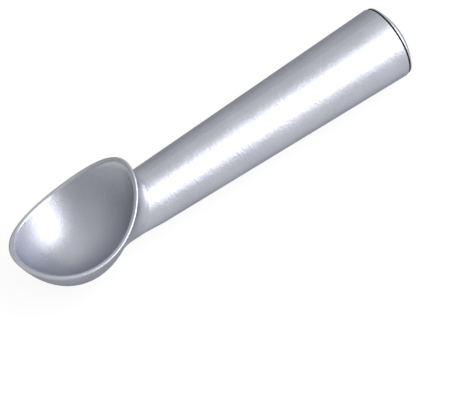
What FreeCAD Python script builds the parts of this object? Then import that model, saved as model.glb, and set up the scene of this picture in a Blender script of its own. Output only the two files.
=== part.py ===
import FreeCAD, Part
import Sketcher
import itertools
import math
import os

from FreeCAD import Placement, Rotation, Vector

# One-hand ice cream scoop, in millimetres.
# It is drawn lying along X: the handle's end face at X = 0, the bowl at the far end, the bowl's opening
# towards +Z and the handle's axis on Z = 0. At the end it is laid down as it comes to rest on a table.

doc = FreeCAD.newDocument("ice_cream_scoop")

# Driving sizes

SIZES = {
    # the turned handle, a cone that is thickest at its end
    "handle_length": 118.0,
    "handle_end_radius": 15.6,
    "handle_neck_radius": 12.0,
    "end_edge_radius": 0.6,
    # the cast neck, a little thinner than the turned cone, and its flare into the bowl,
    # which is tight on top and grows wider all the way round to the underside
    "neck_radius": 11.3,
    "neck_root": 18.0,
    "neck_end": 9.0,
    "flare_radius_top": 6.5,
    "flare_radius_bottom": 50.0,
    # beyond the neck's start the turned cone runs out and sinks into the neck
    "run_out_length": 10.0,
    "run_out_depth": 0.1,
    # the bowl's outside, the lower part of an upright egg that leans back a little over the handle
    "bowl_across": 29.2,
    "bowl_along": 31.2,
    "bowl_upright": 56.0,
    "bowl_lean": 4.5,
    "bowl_reach": 32.0,
    "bowl_bottom": 14.7,
    # the bowl's inside, an egg that is blunter and leans back more, so that the wall is thin at the rim
    # and thick in the floor
    "floor_thickness": 7.8,
    "inside_across_more": 0.65,
    "inside_along_less": 1.35,
    "inside_upright_less": 9.9,
    "inside_lean_more": 5.2,
    "inside_reach_less": 0.5,
    # the rim's curve seen from the side, an arc that would go on as a straight line beyond either end
    "rim_curve_radius": 48.8,
    "rim_arc_half_angle": 52.0,
    "rim_low_height": 6.3,
    "rim_low_reach": 9.0,
    # the rim's rounded edges, or where the rim is thin this share of its least width
    "rim_edge_radius": 0.39,
    "rim_edge_share": 0.23,
    # the bore for the heat-carrying liquid, with a wider mouth for the plug
    "mouth_wall": 2.9,
    "bore_wall": 3.3,
    "bore_length": 104.0,
    "bore_point": 5.0,
    # the rubber ring in the seam
    "ring_thickness": 0.6,
    "ring_inset": 0.4,
    # the domed cap and its plug
    "plug_length": 9.0,
    "plug_clearance": 0.1,
    "cap_inset": 0.35,
    "cap_edge_height": 0.5,
    "cap_dome_height": 4.6,
}

# Two places closer than this are the same place
SAME_PLACE = 0.001

sheet = doc.addObject("Spreadsheet::Sheet", "sizes")
for row, (name, value) in enumerate(SIZES.items(), start=1):
    sheet.set(f"A{row}", name)
    sheet.set(f"B{row}", str(value))
    sheet.setAlias(f"B{row}", name)
doc.recompute()

# Expressions that more than one piece uses
CONE_SLOPE = "(sizes.handle_end_radius - sizes.handle_neck_radius) / sizes.handle_length"
PLUG_RADIUS = "(sizes.handle_end_radius - sizes.mouth_wall - sizes.plug_clearance)"


def size(name):
    """The value of one cell of the sheet."""
    return float(sheet.get(name))


def new_body(label):
    body = doc.addObject("PartDesign::Body", label)
    body.Label = label
    return body


def side_sketch(body, name):
    """A sketch in the plane of symmetry: its x runs along the handle and its y is up."""
    plane = next(item for item in body.Origin.OriginFeatures if item.Role == "XZ_Plane")
    sketch = body.newObject("Sketcher::SketchObject", name)
    sketch.AttachmentSupport = [(plane, "")]
    sketch.MapMode = "FlatFace"
    return sketch


def hold_point(sketch, line, end, x_text, y_text):
    """Hold one end of a line at a place given by two expressions, or on an axis where one is "0"."""
    for kind, text, axis in (("DistanceX", x_text, -2), ("DistanceY", y_text, -1)):
        if text == "0":
            sketch.addConstraint(Sketcher.Constraint("PointOnObject", line, end, axis))
        else:
            value = sketch.evalExpression(text)
            held = sketch.addConstraint(Sketcher.Constraint(kind, -1, 1, line, end, value))
            sketch.setExpression(f"Constraints[{held}]", text)


def sketch_point(sketch, x_text, y_text):
    """The point of a sketch that two expressions give."""
    return Vector(sketch.evalExpression(x_text), sketch.evalExpression(y_text))


def straight_outline(sketch, corners):
    """A closed outline of straight lines; each corner is a pair of expressions for its x and y."""
    points = [sketch_point(sketch, *corner) for corner in corners]
    count = len(points)
    for index in range(count):
        sketch.addGeometry(Part.LineSegment(points[index], points[(index + 1) % count]))
    for index in range(count):
        sketch.addConstraint(Sketcher.Constraint("Coincident", index, 2, (index + 1) % count, 1))
    for index, corner in enumerate(corners):
        hold_point(sketch, index, 1, *corner)


def turn(body, kind, name, sketch):
    """Turn a sketch about the handle's axis, as new metal or as a cut."""
    turned = body.newObject(kind, name)
    turned.Profile = sketch
    turned.ReferenceAxis = (sketch, ["H_Axis"])
    turned.Angle = 360.0
    doc.recompute()
    return turned


def edges_between(shape, first, second):
    """The names of the edges where a face that passes one test meets a face that passes another."""
    names = []
    for index, edge in enumerate(shape.Edges, start=1):
        faces = shape.ancestorsOfType(edge, Part.Face)
        if len(faces) != 2:
            continue
        if (first(faces[0]) and second(faces[1])) or (first(faces[1]) and second(faces[0])):
            names.append(f"Edge{index}")
    return names


def half_neck(name, angle):
    """One half of the neck's cylinder, left or right of the plane of symmetry."""
    half = doc.addObject("Part::Cylinder", name)
    half.Angle = 180.0
    half.Placement = Placement(Vector(), Rotation(Vector(0, 1, 0), 90) * Rotation(Vector(0, 0, 1), angle))
    half.setExpression("Placement.Base.x", "sizes.handle_length - sizes.neck_root")
    half.setExpression("Height", "sizes.neck_root + sizes.bowl_reach + sizes.neck_end")
    half.setExpression("Radius", "sizes.neck_radius")
    return half


def flare_radius(point):
    """The flare's radius at a point of the join, from the neck's top to its underside."""
    share = (size("neck_radius") - point.z) / (2 * size("neck_radius"))
    return size("flare_radius_top") + (size("flare_radius_bottom") - size("flare_radius_top")) * share


def fillet(body, name, edges, radius_text):
    """Round some edges of the body, with a radius given by an expression."""
    base = body.Tip
    rounding = body.newObject("PartDesign::Fillet", name)
    rounding.Base = (base, edges)
    rounding.setExpression("Radius", radius_text)
    doc.recompute()
    return rounding


def is_cone(face):
    return face.Surface.TypeId == "Part::GeomCone"


def is_barrel(face):
    return face.Surface.TypeId == "Part::GeomCylinder"


def is_plane(face):
    return face.Surface.TypeId == "Part::GeomPlane"


def is_end_face(face):
    """The flat face of the handle's end, which lies at X = 0."""
    return is_plane(face) and abs(face.CenterOfMass.x) < SAME_PLACE


def is_free_form(face):
    return face.Surface.TypeId == "Part::GeomBSplineSurface"


def is_rim_face(face):
    """A face left by the rim's cut: over the bowl, and straight from side to side."""
    if face.CenterOfMass.x < size("handle_length"):
        return False
    return is_plane(face) or (is_barrel(face) and abs(face.Surface.Axis.y) > 1 - SAME_PLACE)


def any_face(face):
    return True


def rim_width(shape):
    """The rim's least width, measured between edges of its faces that don't meet."""
    gaps = [first.distToShape(second)[0]
            for face in shape.Faces if is_rim_face(face)
            for first, second in itertools.combinations(face.Edges, 2)]
    return min(gap for gap in gaps if gap > SAME_PLACE)


# The scoop's body: handle, neck and bowl, one aluminium casting

left_neck = half_neck("left_neck", 0)
right_neck = half_neck("right_neck", 180)

bowl = doc.addObject("Part::Ellipsoid", "bowl_outside")
bowl.Placement = Placement(Vector(), Rotation(Vector(0, -1, 0), size("bowl_lean")))
bowl.setExpression("Radius1", "sizes.bowl_upright")
bowl.setExpression("Radius2", "sizes.bowl_along")
bowl.setExpression("Radius3", "sizes.bowl_across")
bowl.setExpression("Placement.Rotation.Angle", "sizes.bowl_lean * 1 deg")
bowl.setExpression("Placement.Base.x", "sizes.handle_length + sizes.bowl_reach")
bowl.setExpression("Placement.Base.z", "sqrt((sizes.bowl_upright * cos(sizes.bowl_lean * 1 deg)) ^ 2"
                   " + (sizes.bowl_along * sin(sizes.bowl_lean * 1 deg)) ^ 2) - sizes.bowl_bottom")

casting = doc.addObject("Part::MultiFuse", "neck_and_bowl")
casting.Shapes = [left_neck, right_neck, bowl]
casting.Refine = False
doc.recompute()

# The neck keeps its two halves here, so that the join has a corner on top, where its flare is tightest
flare = doc.addObject("Part::Fillet", "neck_flare")
flare.Base = casting
flare_edges = []
for name in edges_between(casting.Shape, is_barrel, is_free_form):
    edge = casting.Shape.getElement(name)
    ends = (edge.valueAt(edge.FirstParameter), edge.valueAt(edge.LastParameter))
    flare_edges.append((int(name.removeprefix("Edge")), *(flare_radius(end) for end in ends)))
flare.Edges = flare_edges
doc.recompute()

scoop = new_body("scoop_body")
scoop.BaseFeature = flare
doc.recompute()

handle_sketch = side_sketch(scoop, "handle_outline")
straight_outline(handle_sketch, [
    ("0", "0"),
    ("0", "sizes.handle_end_radius"),
    ("sizes.handle_length", "sizes.handle_neck_radius"),
    ("sizes.handle_length + sizes.run_out_length", "sizes.neck_radius - sizes.run_out_depth"),
    ("sizes.handle_length + sizes.run_out_length", "0"),
])
turn(scoop, "PartDesign::Revolution", "turned_handle", handle_sketch)

# The cut that leaves the rim is open upwards. Its lower edge is an arc, and its sides rise along the
# arc's tangents.
RIM_ANGLE = "(sizes.rim_arc_half_angle * 1 deg)"
RIM_X = "sizes.handle_length + sizes.bowl_reach + sizes.rim_low_reach"
RIM_CENTRE_HEIGHT = "sizes.rim_low_height + sizes.rim_curve_radius"
ARC_HALF_WIDTH = f"sizes.rim_curve_radius * sin({RIM_ANGLE})"
ARC_END_HEIGHT = f"{RIM_CENTRE_HEIGHT} - sizes.rim_curve_radius * cos({RIM_ANGLE})"
CUT_RISE = "2 * sizes.bowl_upright"
CUT_HALF_WIDTH = f"({ARC_HALF_WIDTH} + {CUT_RISE} / tan({RIM_ANGLE}))"
CUT_TOP = f"{ARC_END_HEIGHT} + {CUT_RISE}"
rim_sketch = side_sketch(scoop, "rim_curve")
front_low = sketch_point(rim_sketch, f"{RIM_X} + {ARC_HALF_WIDTH}", ARC_END_HEIGHT)
front_high = sketch_point(rim_sketch, f"{RIM_X} + {CUT_HALF_WIDTH}", CUT_TOP)
back_high = sketch_point(rim_sketch, f"{RIM_X} - {CUT_HALF_WIDTH}", CUT_TOP)
back_low = sketch_point(rim_sketch, f"{RIM_X} - {ARC_HALF_WIDTH}", ARC_END_HEIGHT)
rim_centre = sketch_point(rim_sketch, RIM_X, RIM_CENTRE_HEIGHT)
rim_circle = Part.Circle(rim_centre, Vector(0, 0, 1), size("rim_curve_radius"))
half_angle = math.radians(size("rim_arc_half_angle"))
rim_sketch.addGeometry(Part.ArcOfCircle(rim_circle, -math.pi / 2 - half_angle, -math.pi / 2 + half_angle))
rim_sketch.addGeometry(Part.LineSegment(front_low, front_high))
rim_sketch.addGeometry(Part.LineSegment(front_high, back_high))
rim_sketch.addGeometry(Part.LineSegment(back_high, back_low))
rim_sketch.addConstraint(Sketcher.Constraint("Coincident", 0, 2, 1, 1))
rim_sketch.addConstraint(Sketcher.Constraint("Coincident", 1, 2, 2, 1))
rim_sketch.addConstraint(Sketcher.Constraint("Coincident", 2, 2, 3, 1))
rim_sketch.addConstraint(Sketcher.Constraint("Coincident", 3, 2, 0, 1))
rim_sketch.addConstraint(Sketcher.Constraint("Horizontal", 0, 1, 0, 2))
hold_point(rim_sketch, 0, 3, RIM_X, RIM_CENTRE_HEIGHT)
hold_point(rim_sketch, 0, 1, f"{RIM_X} - {ARC_HALF_WIDTH}", ARC_END_HEIGHT)
hold_point(rim_sketch, 1, 2, f"{RIM_X} + {CUT_HALF_WIDTH}", CUT_TOP)
hold_point(rim_sketch, 2, 2, f"{RIM_X} - {CUT_HALF_WIDTH}", CUT_TOP)
before = scoop.Tip.Shape.Volume
rim_cut = scoop.newObject("PartDesign::Pocket", "rim_cut")
rim_cut.Profile = rim_sketch
rim_cut.Midplane = True
rim_cut.Type = "ThroughAll"
doc.recompute()
print("rim cut", round(before - rim_cut.Shape.Volume), "mm3")

INSIDE_LEAN = "(sizes.bowl_lean + sizes.inside_lean_more) * 1 deg"
INSIDE_UPRIGHT = "(sizes.bowl_upright - sizes.inside_upright_less)"
INSIDE_ALONG = "(sizes.bowl_along - sizes.inside_along_less)"
inside = scoop.newObject("PartDesign::SubtractiveEllipsoid", "bowl_inside")
inside.Placement = Placement(Vector(), Rotation(Vector(0, -1, 0), size("bowl_lean")))
inside.setExpression("Radius1", INSIDE_UPRIGHT)
inside.setExpression("Radius2", INSIDE_ALONG)
inside.setExpression("Radius3", "sizes.bowl_across + sizes.inside_across_more")
inside.setExpression("Placement.Rotation.Angle", INSIDE_LEAN)
inside.setExpression("Placement.Base.x", "sizes.handle_length + sizes.bowl_reach - sizes.inside_reach_less")
inside.setExpression("Placement.Base.z", f"sqrt(({INSIDE_UPRIGHT} * cos({INSIDE_LEAN})) ^ 2"
                     f" + ({INSIDE_ALONG} * sin({INSIDE_LEAN})) ^ 2)"
                     " - sizes.bowl_bottom + sizes.floor_thickness")
doc.recompute()
print("inside cut", round(rim_cut.Shape.Volume - inside.Shape.Volume), "mm3")

fillet(scoop, "rim_rounding", edges_between(inside.Shape, is_rim_face, any_face),
       f"min(sizes.rim_edge_radius; sizes.rim_edge_share * {rim_width(inside.Shape):.3f})")

bore_sketch = side_sketch(scoop, "bore_outline")
straight_outline(bore_sketch, [
    ("0", "0"),
    ("0", f"{PLUG_RADIUS} + sizes.plug_clearance"),
    ("sizes.plug_length + sizes.plug_clearance", f"{PLUG_RADIUS} + sizes.plug_clearance"),
    ("sizes.plug_length + sizes.plug_clearance",
     f"sizes.handle_end_radius - {CONE_SLOPE} * sizes.plug_length - sizes.bore_wall"),
    ("sizes.bore_length", f"sizes.handle_end_radius - {CONE_SLOPE} * sizes.bore_length - sizes.bore_wall"),
    ("sizes.bore_length + sizes.bore_point", "0"),
])
bore = turn(scoop, "PartDesign::Groove", "liquid_bore", bore_sketch)
print("bore", round(scoop.Tip.BaseFeature.Shape.Volume - bore.Shape.Volume), "mm3")

fillet(scoop, "end_edge", edges_between(bore.Shape, is_cone, is_end_face), "sizes.end_edge_radius")


# The rubber ring in the seam, whose edge shows as a dark line

ring = new_body("seal_ring")
ring_sketch = side_sketch(ring, "ring_outline")
straight_outline(ring_sketch, [
    ("-sizes.ring_thickness", f"{PLUG_RADIUS} + sizes.plug_clearance"),
    ("-sizes.ring_thickness", "sizes.handle_end_radius - sizes.ring_inset"),
    ("0", "sizes.handle_end_radius - sizes.ring_inset"),
    ("0", f"{PLUG_RADIUS} + sizes.plug_clearance"),
])
turn(ring, "PartDesign::Revolution", "ring", ring_sketch)

# The domed cap, turned from one piece with the plug that closes the bore

cap = new_body("end_cap")
cap_sketch = side_sketch(cap, "cap_outline")
straight_outline(cap_sketch, [
    ("sizes.plug_length", "0"),
    ("sizes.plug_length", PLUG_RADIUS),
    ("-sizes.ring_thickness", PLUG_RADIUS),
    ("-sizes.ring_thickness", "sizes.handle_end_radius - sizes.cap_inset"),
    ("-sizes.ring_thickness - sizes.cap_edge_height", "sizes.handle_end_radius - sizes.cap_inset"),
    ("-sizes.ring_thickness - sizes.cap_edge_height", "0"),
])
turn(cap, "PartDesign::Revolution", "plug_and_flange", cap_sketch)

dome_sketch = side_sketch(cap, "dome_outline")
dome_base = "-sizes.ring_thickness - sizes.cap_edge_height"
dome_radius = "sizes.handle_end_radius - sizes.cap_inset"
base_x = dome_sketch.evalExpression(dome_base)
base_radius = dome_sketch.evalExpression(dome_radius)
height = size("cap_dome_height")
sphere_radius = (base_radius ** 2 + height ** 2) / (2 * height)
rise = math.asin(base_radius / sphere_radius)
sphere = Part.Circle(Vector(base_x - height + sphere_radius, 0, 0), Vector(0, 0, 1), sphere_radius)
dome_sketch.addGeometry(Part.ArcOfCircle(sphere, math.pi - rise, math.pi))
dome_sketch.addGeometry(Part.LineSegment(Vector(base_x - height, 0, 0), Vector(base_x, 0, 0)))
dome_sketch.addGeometry(Part.LineSegment(Vector(base_x, 0, 0), Vector(base_x, base_radius, 0)))
dome_sketch.addConstraint(Sketcher.Constraint("Coincident", 0, 2, 1, 1))
dome_sketch.addConstraint(Sketcher.Constraint("Coincident", 1, 2, 2, 1))
dome_sketch.addConstraint(Sketcher.Constraint("Coincident", 2, 2, 0, 1))
dome_sketch.addConstraint(Sketcher.Constraint("PointOnObject", 0, 3, -1))
hold_point(dome_sketch, 1, 1, f"{dome_base} - sizes.cap_dome_height", "0")
hold_point(dome_sketch, 1, 2, dome_base, "0")
hold_point(dome_sketch, 2, 2, dome_base, dome_radius)
turn(cap, "PartDesign::Revolution", "dome", dome_sketch)

# How it lies on a table: on the underside of the handle's end and on the bowl's bottom


def end_depth(tilt):
    """How far the rounded edge of the handle's end reaches below the axis, with the bowl end tilted down."""
    edge = size("end_edge_radius")
    return edge + (size("handle_end_radius") - edge) * math.cos(tilt) + edge * math.sin(tilt)


def bowl_depth(tilt):
    """How far the bowl reaches below the handle's end at the same tilt."""
    centre = bowl.Placement.Base
    lean = math.radians(size("bowl_lean")) - tilt
    half_height = math.hypot(size("bowl_upright") * math.cos(lean), size("bowl_along") * math.sin(lean))
    return centre.x * math.sin(tilt) - centre.z * math.cos(tilt) + half_height


# The tilt at which both touch the table, found by halving the span that holds it
STEEPEST = math.radians(17)
HALVINGS = 50
low, high = -STEEPEST, STEEPEST
for step in range(HALVINGS):
    tilt = (low + high) / 2
    if bowl_depth(tilt) < end_depth(tilt):
        low = tilt
    else:
        high = tilt
turned = Rotation(Vector(0, 1, 0), math.degrees(tilt))
bodies = (scoop, ring, cap)
for body in bodies:
    body.Placement = Placement(Vector(0, 0, end_depth(tilt)), turned)
doc.recompute()
spans = [body.Shape.optimalBoundingBox(False, False) for body in bodies]
middle = (min(span.XMin for span in spans) + max(span.XMax for span in spans)) / 2
for body in bodies:
    body.Placement = Placement(Vector(-middle, 0, end_depth(tilt)), turned)
doc.recompute()
print("rest tilt", round(math.degrees(tilt), 3), "deg, moved by",
      round(-middle, 3), round(end_depth(tilt), 3))

# Check everything, then write the solids

for item in doc.Objects:
    if "Invalid" in item.State or "Error" in item.State:
        raise RuntimeError(f"{item.Name} failed: {item.State}")
for body in bodies:
    if body.Shape.isNull() or not body.Shape.isValid() or len(body.Shape.Solids) != 1:
        raise RuntimeError(f"{body.Label} is not one valid solid")

os.makedirs("parts", exist_ok=True)
for body in bodies:
    body.Shape.exportStep(f"parts/{body.Label}.step")
    span = body.Shape.optimalBoundingBox(False, False)
    print(body.Label, "volume", round(body.Shape.Volume),
          "x", round(span.XMin, 2), round(span.XMax, 2), "y", round(span.YMin, 2), round(span.YMax, 2),
          "z", round(span.ZMin, 2), round(span.ZMax, 2))
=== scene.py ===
import math

import bpy
from mathutils import Euler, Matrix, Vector

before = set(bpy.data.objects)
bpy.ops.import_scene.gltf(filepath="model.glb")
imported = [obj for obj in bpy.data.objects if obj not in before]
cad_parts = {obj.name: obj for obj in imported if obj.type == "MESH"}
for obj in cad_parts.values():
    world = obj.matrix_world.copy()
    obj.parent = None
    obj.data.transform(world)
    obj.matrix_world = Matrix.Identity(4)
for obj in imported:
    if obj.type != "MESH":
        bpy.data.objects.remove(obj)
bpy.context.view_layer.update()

# The scoop's body
# One aluminium casting: the hollow tapered handle, the neck and the bowl. The handle is turned, and the
# whole casting is then blasted with fine glass beads and clear anodised, which leaves it silvery and satin.

MM = 0.001


def hex_colour(text):
    """A colour written as sRGB hex, as the linear values that Blender's sockets take."""
    channels = [int(text[start:start + 2], 16) / 255 for start in (1, 3, 5)]
    linear = [c / 12.92 if c <= 0.04045 else ((c + 0.055) / 1.055) ** 2.4 for c in channels]
    return (*linear, 1.0)


def add_node(owner, kind, inputs=None, **settings):
    """Add one node to a material or world; each input is a plain value or another node's output."""
    made = owner.node_tree.nodes.new(kind)
    for name, value in settings.items():
        setattr(made, name, value)
    for socket, value in (inputs or {}).items():
        if isinstance(value, bpy.types.NodeSocket):
            owner.node_tree.links.new(value, made.inputs[socket])
        else:
            made.inputs[socket].default_value = value
    return made


def new_material(name):
    """An empty node material and its output node."""
    material = bpy.data.materials.new(name)
    material.use_nodes = True
    material.node_tree.nodes.clear()
    return material, add_node(material, "ShaderNodeOutputMaterial")


ALUMINIUM_LIGHT = "#babcc5"
ALUMINIUM_DARK = "#adafb9"
ALUMINIUM_RUBBED = "#bbbdc6"
# the anodised film is a little uneven over patches of about a thumb's width, in tone and in shine
FILM_PATCH = 16 * MM
SHINIEST = 0.38
DULLEST = 0.43
RUBBED_SHINIER = 0.12
# the true blasted grain is about 0.1 mm, too fine to show here, so it is drawn seven times as coarse
GRAIN_SIZE = 0.7 * MM
GRAIN_DEPTH = 0.09 * MM
GRAIN_DEPTH_INSIDE = 0.065 * MM
# the lathe's marks run round the handle, about 0.2 mm apart, and are drawn four times as coarse
MARK_PITCH = 0.8 * MM
MARK_LENGTH = 2.8 * MM
MARK_DEPTH = 0.13 * MM
# the turned handle, along X
HANDLE_MIDDLE = -26 * MM
HANDLE_HALF = 60 * MM
# the rim lies on a round surface whose axis runs across the scoop, above the bowl
RIM_AXIS = Vector((73.45, 0, 69.76)) * MM
RIM_RADIUS = 48.8 * MM
# how wide the rim is rubbed, and where that widens to the lip at the bowl's tip, along X
RUBBED_WIDTH = 1.0 * MM
LIP_WIDTH = 1.6 * MM
LIP_START = 74 * MM
LIP_END = 90 * MM
# the bowl's inside is part of an egg that leans back over the handle
EGG_MIDDLE = Vector((63.86, 0, 53.52)) * MM
EGG_SIZE = Vector((29.85, 29.85, 46.1)) * MM
EGG_LEAN = math.radians(9.36)
# how much of its light the metal keeps where it is seen at a slant: less on the outside, a painted shade that
# draws the dark outline, and nearly all on the inside, painted light that keeps the bowl light
PAINTED_SLANT_SHADE_OUTSIDE = "#9c9ca2"
PAINTED_SLANT_LIGHT_INSIDE = "#f0f0f2"

satin, satin_output = new_material("blasted_anodised_aluminium")
place = add_node(satin, "ShaderNodeTexCoord").outputs["Object"]
along = add_node(satin, "ShaderNodeSeparateXYZ", {"Vector": place})

# the rim is ground and rubbed round over a narrow band, which widens to a lip at the bowl's tip
band = add_node(satin, "ShaderNodeMapRange",
                {"Value": along.outputs["X"], "From Min": LIP_START, "From Max": LIP_END,
                 "To Min": RUBBED_WIDTH, "To Max": LIP_WIDTH})
from_axis = add_node(satin, "ShaderNodeVectorMath", {0: place, 1: RIM_AXIS}, operation="SUBTRACT")
side_on = add_node(satin, "ShaderNodeVectorMath", {0: from_axis.outputs["Vector"], 1: (1, 0, 1)},
                   operation="MULTIPLY")
axis_distance = add_node(satin, "ShaderNodeVectorMath", {0: side_on.outputs["Vector"]}, operation="LENGTH")
below_rim = add_node(satin, "ShaderNodeMath", {0: axis_distance.outputs["Value"], 1: RIM_RADIUS},
                     operation="SUBTRACT")
bands_below = add_node(satin, "ShaderNodeMath", {0: below_rim.outputs["Value"], 1: band.outputs["Result"]},
                       operation="DIVIDE")
rim_share = add_node(satin, "ShaderNodeMapRange",
                     {"Value": bands_below.outputs["Value"], "From Min": 0.25, "From Max": 1.4,
                      "To Min": 1.0, "To Max": 0.0}, interpolation_type="SMOOTHSTEP")

# the bowl's inside is burnished by ice cream and by washing, which smooths its grain, and it is given painted
# light that keeps it light where it is seen at a slant
from_egg = add_node(satin, "ShaderNodeVectorMath", {0: place, 1: EGG_MIDDLE}, operation="SUBTRACT")
upright = add_node(satin, "ShaderNodeVectorRotate", {"Vector": from_egg.outputs["Vector"], "Angle": EGG_LEAN},
                   rotation_type="Y_AXIS")
in_egg_sizes = add_node(satin, "ShaderNodeVectorMath", {0: upright.outputs["Vector"], 1: EGG_SIZE},
                        operation="DIVIDE")
egg_distance = add_node(satin, "ShaderNodeVectorMath", {0: in_egg_sizes.outputs["Vector"]},
                        operation="LENGTH")
inside_share = add_node(satin, "ShaderNodeMapRange",
                        {"Value": egg_distance.outputs["Value"], "From Min": 1.01, "From Max": 1.04,
                         "To Min": 1.0, "To Max": 0.0})

# the metal's tone varies with its grain and its film, and is even where the rim is rubbed
grain = add_node(satin, "ShaderNodeTexNoise",
                 {"Vector": place, "Scale": 1 / GRAIN_SIZE, "Detail": 2.0, "Roughness": 0.6})
film = add_node(satin, "ShaderNodeTexNoise",
                {"Vector": place, "Scale": 1 / FILM_PATCH, "Detail": 3.0, "Roughness": 0.5})
tone = add_node(satin, "ShaderNodeMath",
                {0: grain.outputs["Fac"], 1: film.outputs["Fac"]}, operation="ADD")
tone_share = add_node(satin, "ShaderNodeMapRange",
                      {"Value": tone.outputs["Value"], "From Min": 0.7, "From Max": 1.3})
colour = add_node(satin, "ShaderNodeValToRGB", {"Fac": tone_share.outputs["Result"]})
colour.color_ramp.elements[0].color = hex_colour(ALUMINIUM_DARK)
colour.color_ramp.elements[1].color = hex_colour(ALUMINIUM_LIGHT)
worn_colour = add_node(satin, "ShaderNodeMix",
                       {0: rim_share.outputs["Result"], 6: colour.outputs["Color"],
                        7: hex_colour(ALUMINIUM_RUBBED)}, data_type="RGBA")

dullness = add_node(satin, "ShaderNodeMapRange",
                    {"Value": film.outputs["Fac"], "From Min": 0.3, "From Max": 0.7,
                     "To Min": SHINIEST, "To Max": DULLEST})
rubbed_dullness = add_node(satin, "ShaderNodeMath",
                           {0: rim_share.outputs["Result"], 1: -RUBBED_SHINIER,
                            2: dullness.outputs["Result"]}, operation="MULTIPLY_ADD")

# the film darkens the metal a little where it is seen at a slant; on the outside this is made much stronger,
# as painted shade that draws the dark outline, and on the inside it is kept weak, as painted light that keeps
# the bowl light
slant = add_node(satin, "ShaderNodeMix",
                 {0: inside_share.outputs["Result"], 6: hex_colour(PAINTED_SLANT_SHADE_OUTSIDE),
                  7: hex_colour(PAINTED_SLANT_LIGHT_INSIDE)}, data_type="RGBA")

# the rim is rubbed round from its inner to its outer side, more than the solid's edges are, and this
# is drawn in the shading
round_normal = add_node(satin, "ShaderNodeBevel", {"Radius": band.outputs["Result"]}, samples=10)
true_normal = add_node(satin, "ShaderNodeNewGeometry")
rim_normal = add_node(satin, "ShaderNodeMix",
                      {0: rim_share.outputs["Result"], 4: true_normal.outputs["Normal"],
                       5: round_normal.outputs["Normal"]}, data_type="VECTOR")

# the turning marks show only on the handle, and are softened by the blasting
squeezed = add_node(satin, "ShaderNodeVectorMath", {0: place, 1: (MARK_LENGTH / MARK_PITCH, 1, 1)},
                    operation="MULTIPLY")
marks = add_node(satin, "ShaderNodeTexNoise",
                 {"Vector": squeezed.outputs["Vector"], "Scale": 1 / MARK_LENGTH, "Detail": 1.0})
on_handle = add_node(satin, "ShaderNodeMath", {0: along.outputs["X"], 1: HANDLE_MIDDLE, 2: HANDLE_HALF},
                     operation="COMPARE")
turned = add_node(satin, "ShaderNodeBump",
                  {"Height": marks.outputs["Fac"], "Strength": on_handle.outputs["Value"],
                   "Distance": MARK_DEPTH, "Normal": rim_normal.outputs[1]})

# the blasting's grain lies over everything, and is shallower on the burnished inside
grain_depth = add_node(satin, "ShaderNodeMapRange",
                       {"Value": inside_share.outputs["Result"],
                        "To Min": GRAIN_DEPTH, "To Max": GRAIN_DEPTH_INSIDE})
blasted = add_node(satin, "ShaderNodeBump",
                   {"Height": grain.outputs["Fac"], "Strength": 1.0,
                    "Distance": grain_depth.outputs["Result"], "Normal": turned.outputs["Normal"]})
metal = add_node(satin, "ShaderNodeBsdfPrincipled",
                 {"Base Color": worn_colour.outputs[2], "Metallic": 1.0,
                  "Specular Tint": slant.outputs[2],
                  "Roughness": rubbed_dullness.outputs["Value"], "Normal": blasted.outputs["Normal"]})
satin.node_tree.links.new(metal.outputs["BSDF"], satin_output.inputs["Surface"])

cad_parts["scoop_body"].material_slots[0].material = satin

# The seal ring
# A flat ring of black nitrile rubber, cut from sheet and dull. The cap presses it against the handle's end
# face, and only its edge shows, as the dark line round the end of the handle.

RUBBER_DARK = "#060607"
RUBBER_LIGHT = "#101012"
# the knife leaves marks about 0.2 mm apart on the cut edge, drawn four times as coarse
CUT_MARK = 0.8 * MM
CUT_DEPTH = 0.05 * MM

rubber, rubber_output = new_material("cut_nitrile_rubber")
rubber_place = add_node(rubber, "ShaderNodeTexCoord").outputs["Object"]
cut_marks = add_node(rubber, "ShaderNodeTexNoise",
                     {"Vector": rubber_place, "Scale": 1 / CUT_MARK, "Detail": 3.0})
rubber_colour = add_node(rubber, "ShaderNodeValToRGB", {"Fac": cut_marks.outputs["Fac"]})
rubber_colour.color_ramp.elements[0].color = hex_colour(RUBBER_DARK)
rubber_colour.color_ramp.elements[1].color = hex_colour(RUBBER_LIGHT)
rubber_bump = add_node(rubber, "ShaderNodeBump",
                       {"Height": cut_marks.outputs["Fac"], "Strength": 0.3, "Distance": CUT_DEPTH})
rubber_skin = add_node(rubber, "ShaderNodeBsdfPrincipled",
                       {"Base Color": rubber_colour.outputs["Color"], "Roughness": 0.85, "IOR": 1.52,
                        "Specular IOR Level": 0.08, "Normal": rubber_bump.outputs["Normal"]})
rubber.node_tree.links.new(rubber_skin.outputs["BSDF"], rubber_output.inputs["Surface"])

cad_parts["seal_ring"].material_slots[0].material = rubber

# The end cap
# A shallow dome and its plug, turned in one piece from aluminium bar and pushed into the bore. It is
# blasted and anodised as the body is, so it takes the body's material.

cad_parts["end_cap"].material_slots[0].material = satin

# The floor
# A plain white table top, not part of the scoop: matt paint with a glow that only the camera and the metal's
# reflections see. The glow is brightest near the scoop and dimmer further out, a painted pool of light. It
# keeps a faint shadow.

HALF_FLOOR = 3.0
TABLE_PAINT = "#5c5c5c"
# the glow's levels, and the distances from the scoop's middle between which it falls from one to the other
GLOW_NEAR = 0.88
GLOW_FAR = 0.50
GLOW_START = 0.16
GLOW_END = 0.60

floor_mesh = bpy.data.meshes.new("floor")
floor_mesh.from_pydata([(-HALF_FLOOR, -HALF_FLOOR, 0), (HALF_FLOOR, -HALF_FLOOR, 0),
                        (HALF_FLOOR, HALF_FLOOR, 0), (-HALF_FLOOR, HALF_FLOOR, 0)], [], [(0, 1, 2, 3)])
floor = bpy.data.objects.new("floor", floor_mesh)
bpy.context.scene.collection.objects.link(floor)

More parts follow.
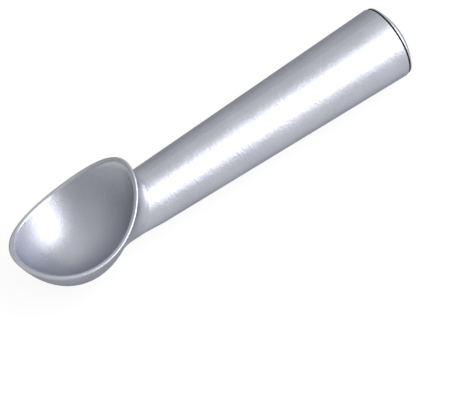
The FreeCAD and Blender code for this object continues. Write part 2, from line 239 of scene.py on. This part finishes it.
table_top, table_output = new_material("white_table_top")
paint = add_node(table_top, "ShaderNodeBsdfDiffuse", {"Color": hex_colour(TABLE_PAINT)})
path = add_node(table_top, "ShaderNodeLightPath")
seen = add_node(table_top, "ShaderNodeMath",
                {0: path.outputs["Is Camera Ray"], 1: path.outputs["Is Glossy Ray"]}, operation="MAXIMUM")
seen_at_all = add_node(table_top, "ShaderNodeMath",
                       {0: seen.outputs["Value"], 1: path.outputs["Is Transmission Ray"]},
                       operation="MAXIMUM")
where = add_node(table_top, "ShaderNodeTexCoord")
away = add_node(table_top, "ShaderNodeVectorMath", {0: where.outputs["Object"]}, operation="LENGTH")
glow_level = add_node(table_top, "ShaderNodeMapRange",
                      {"Value": away.outputs["Value"], "From Min": GLOW_START, "From Max": GLOW_END,
                       "To Min": GLOW_NEAR, "To Max": GLOW_FAR})
glow_strength = add_node(table_top, "ShaderNodeMath",
                         {0: seen_at_all.outputs["Value"], 1: glow_level.outputs["Result"]},
                         operation="MULTIPLY")
glow = add_node(table_top, "ShaderNodeEmission", {"Strength": glow_strength.outputs["Value"]})
lit = add_node(table_top, "ShaderNodeAddShader", {0: paint.outputs["BSDF"], 1: glow.outputs["Emission"]})
# seen from below it lets the camera through, so that the scoop's underside can be looked at
clear = add_node(table_top, "ShaderNodeBsdfTransparent")
side = add_node(table_top, "ShaderNodeNewGeometry")
top_only = add_node(table_top, "ShaderNodeMixShader",
                    {0: side.outputs["Backfacing"], 1: lit.outputs["Shader"], 2: clear.outputs["BSDF"]})
table_top.node_tree.links.new(top_only.outputs["Shader"], table_output.inputs["Surface"])
floor_mesh.materials.append(table_top)

# The lights
# A pale room, lighter overhead and a little lighter beyond the handle's end, and one big soft lamp on
# that side, which draws the handle's broad bright line and the bright spot in the bowl.

# how fast the room grows lighter along X and towards the ceiling, from its level at the horizon
ROOM_SLOPE = (-0.12, 0.0, 0.48)
HORIZON_LEVEL = 0.49
# the lamp's direction and distance from the scoop, its size and its turn about its own direction
LAMP_DIRECTION = Vector((-0.54, 0.665, 0.517)).normalized()
LAMP_DISTANCE = 1.5
LAMP_WIDTH = 2.45
LAMP_HEIGHT = 1.9
LAMP_TURN = math.radians(-25)
# a lamp at a level of 1 would itself show as plain white, with no glare
LAMP_LEVEL = 2.85

world = bpy.data.worlds.new("pale_room")
bpy.context.scene.world = world
world.use_nodes = True
room = add_node(world, "ShaderNodeTexCoord")
room_slope = add_node(world, "ShaderNodeVectorMath", {0: room.outputs["Generated"], 1: ROOM_SLOPE},
                      operation="DOT_PRODUCT")
room_level = add_node(world, "ShaderNodeMath", {0: room_slope.outputs["Value"], 1: HORIZON_LEVEL},
                      operation="ADD")
air = world.node_tree.nodes["Background"]
air.inputs["Color"].default_value = hex_colour("#ffffff")
world.node_tree.links.new(room_level.outputs["Value"], air.inputs["Strength"])

lamp = bpy.data.lights.new("big_soft_lamp", "AREA")
lamp.shape = "RECTANGLE"
lamp.size = LAMP_WIDTH
lamp.size_y = LAMP_HEIGHT
lamp.energy = LAMP_LEVEL * math.pi * LAMP_WIDTH * LAMP_HEIGHT
lamp_holder = bpy.data.objects.new("big_soft_lamp", lamp)
bpy.context.scene.collection.objects.link(lamp_holder)
lamp_holder.location = LAMP_DIRECTION * LAMP_DISTANCE
lamp_holder.rotation_mode = "QUATERNION"
lamp_spin = Euler((0, 0, LAMP_TURN)).to_quaternion()
lamp_holder.rotation_quaternion = LAMP_DIRECTION.to_track_quat("Z", "Y") @ lamp_spin

# The camera
# It stands where the photograph's camera stood, worked out from the outline of the handle, the seam and
# the rim. It looks at a point just below the table's surface, under the middle of the scoop.

CAMERA_AIM = Vector((0.42, 0, -13.49)) * MM
CAMERA_DISTANCE = 1.022
AZIMUTH = math.radians(156.456)
ELEVATION = math.radians(47.167)
ROLL = math.radians(-15.253)
SENSOR_WIDTH = 36.0
FOCAL_LENGTH = 202.5

camera_data = bpy.data.cameras.new("camera")
camera_data.sensor_width = SENSOR_WIDTH
camera_data.lens = FOCAL_LENGTH
camera = bpy.data.objects.new("camera", camera_data)
bpy.context.scene.collection.objects.link(camera)
back = Vector((math.sin(AZIMUTH) * math.cos(ELEVATION), -math.cos(AZIMUTH) * math.cos(ELEVATION),
               math.sin(ELEVATION)))
camera.location = CAMERA_AIM + back * CAMERA_DISTANCE
camera.rotation_mode = "QUATERNION"
camera.rotation_quaternion = (-back).to_track_quat("-Z", "Y") @ Euler((0, 0, ROLL)).to_quaternion()
bpy.context.scene.camera = camera
bpy.context.scene.view_settings.view_transform = "Standard"
